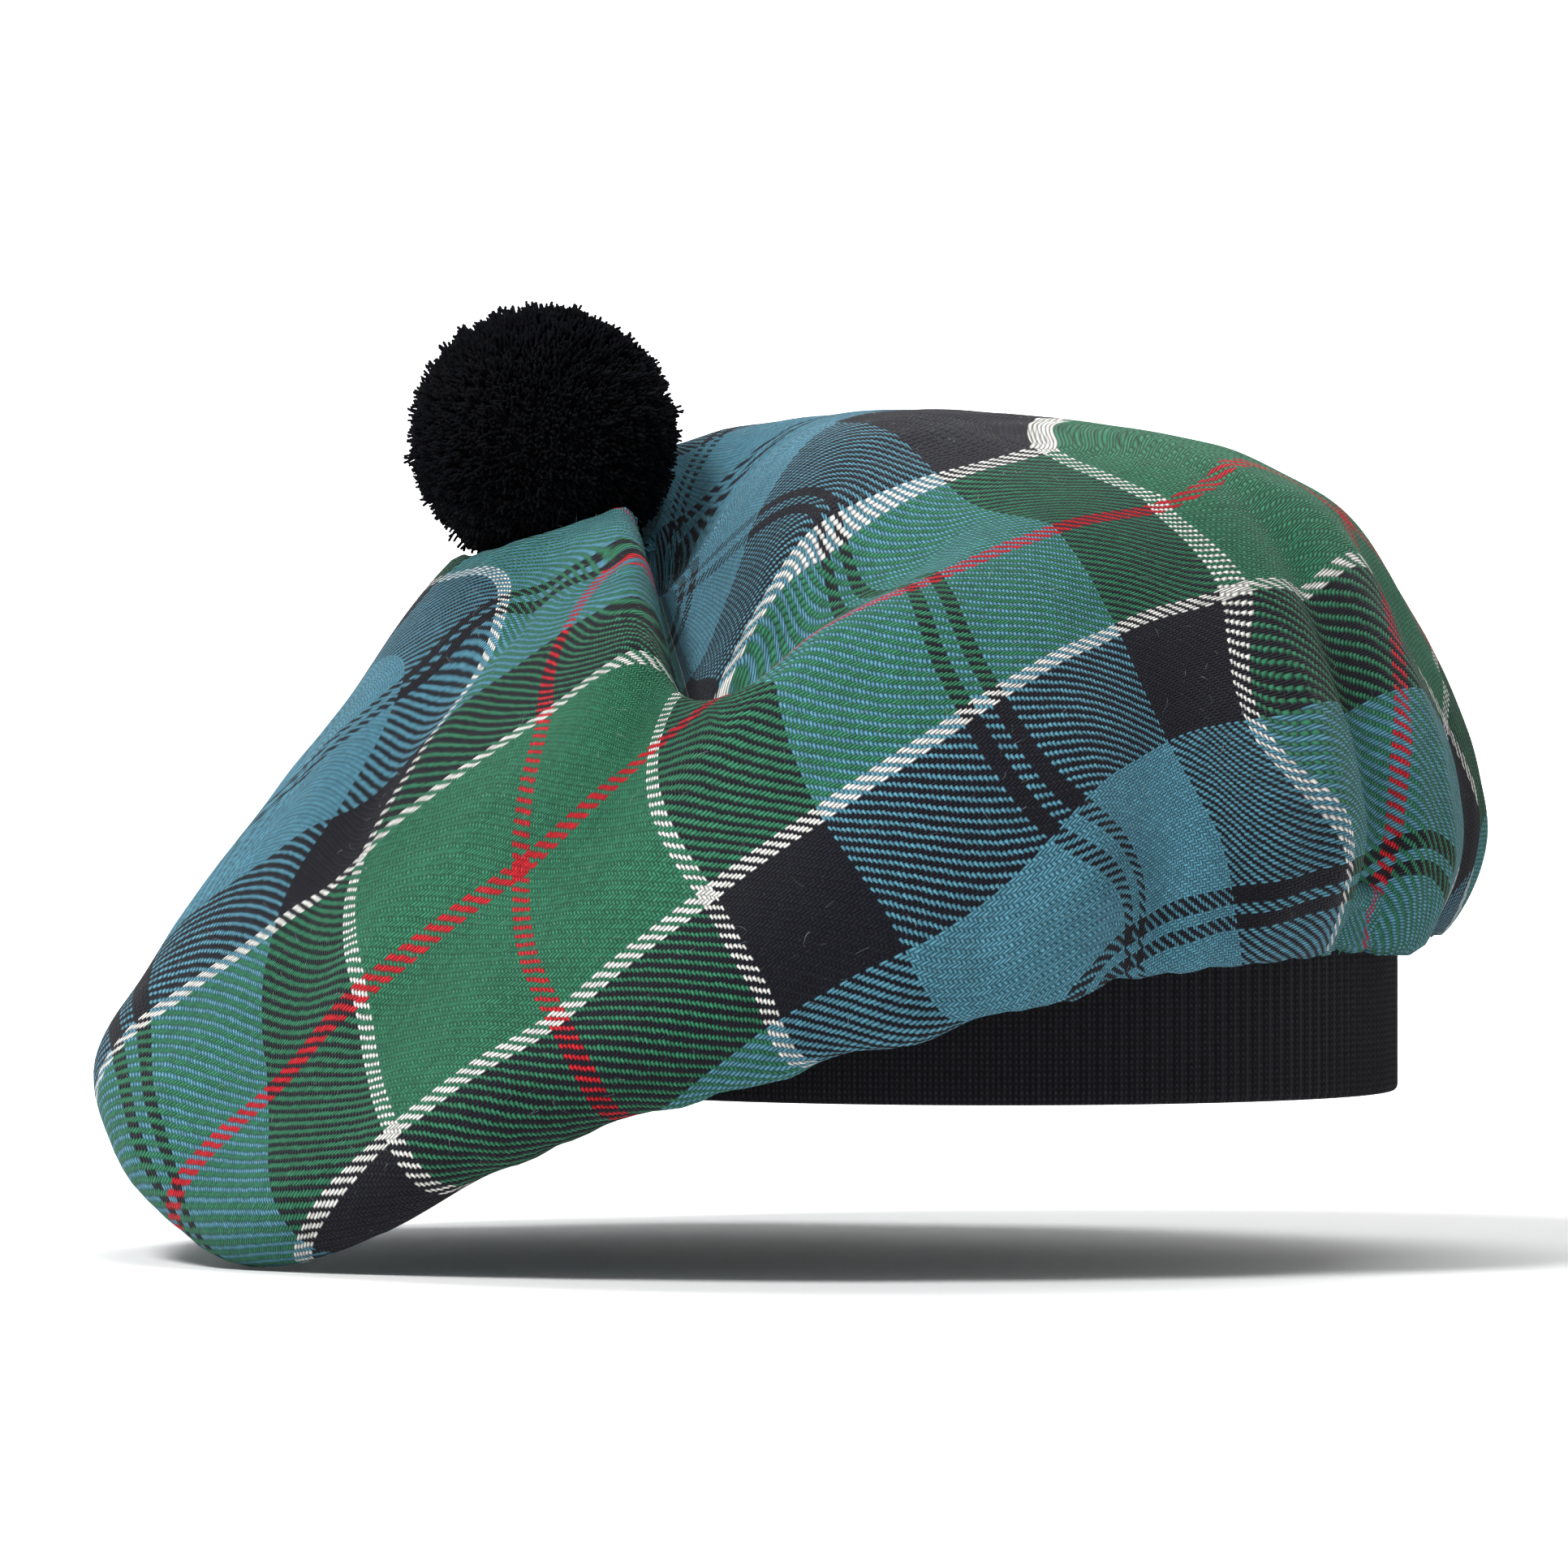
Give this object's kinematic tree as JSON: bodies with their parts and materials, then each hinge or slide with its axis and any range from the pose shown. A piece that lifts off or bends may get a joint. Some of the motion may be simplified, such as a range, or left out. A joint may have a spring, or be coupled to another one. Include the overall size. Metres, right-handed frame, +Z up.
{
  "type": "tam o' shanter",
  "caption": "Floppy one-piece tartan cloth crown gathered to an oval ribbed knit headband, hanging over one side as worn, with a round yarn toorie on top.",
  "frame": {"origin": "middle of the headband's opening, in the plane of its lower edge", "axes": "+Z up out of the head, +X to the wearer's left, -Y the way the wearer faces"},
  "size_m": [0.2636, 0.2832, 0.1802],
  "materials": {
    "tartan_cloth": "brushed wool twill in a tartan of blue, black, green, white and red",
    "rib_knit": "matt black vertical rib knit",
    "pompom_yarn": "matt black cut yarn pile"
  },
  "bodies": {
    "root": {"crown": "tartan_cloth", "headband": "rib_knit", "toorie": "pompom_yarn"}
  },
  "joints": []
}
